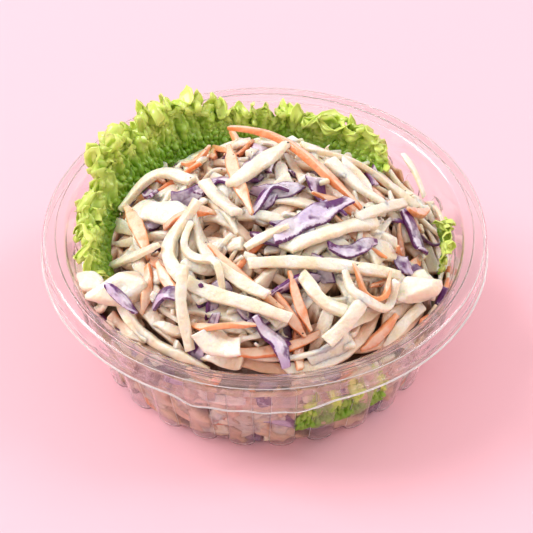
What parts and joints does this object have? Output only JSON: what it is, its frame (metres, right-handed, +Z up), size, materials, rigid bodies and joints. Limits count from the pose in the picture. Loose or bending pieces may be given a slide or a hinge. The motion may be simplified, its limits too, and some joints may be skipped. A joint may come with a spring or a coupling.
{
  "type": "bowl of coleslaw",
  "caption": "Creamy coleslaw heaped in a round clear plastic deli bowl with a fluted wall and flat rim, with frilly green lettuce tucked round its edge.",
  "frame": {"origin": "middle of the bowl's foot, on the surface it stands on", "axes": "+Z up through the bowl; -Y towards the side with the lift tab, where the salad reaches the wall; +Y towards the side with the long lettuce leaf"},
  "size_m": [0.1518, 0.1518, 0.0741],
  "materials": {
    "clear_plastic": "clear thermoformed PET sheet, glossy, colourless",
    "dressed_salad": "white cabbage shreds wet with creamy dressing",
    "lettuce_leaf": "fresh frilly green lettuce, thin and slightly waxy"
  },
  "bodies": {
    "root": {"bowl": "clear_plastic", "coleslaw_heap": "dressed_salad", "lettuce_back": "lettuce_leaf", "lettuce_left": "lettuce_leaf", "lettuce_right": "lettuce_leaf", "lettuce_front": "lettuce_leaf"}
  },
  "joints": []
}
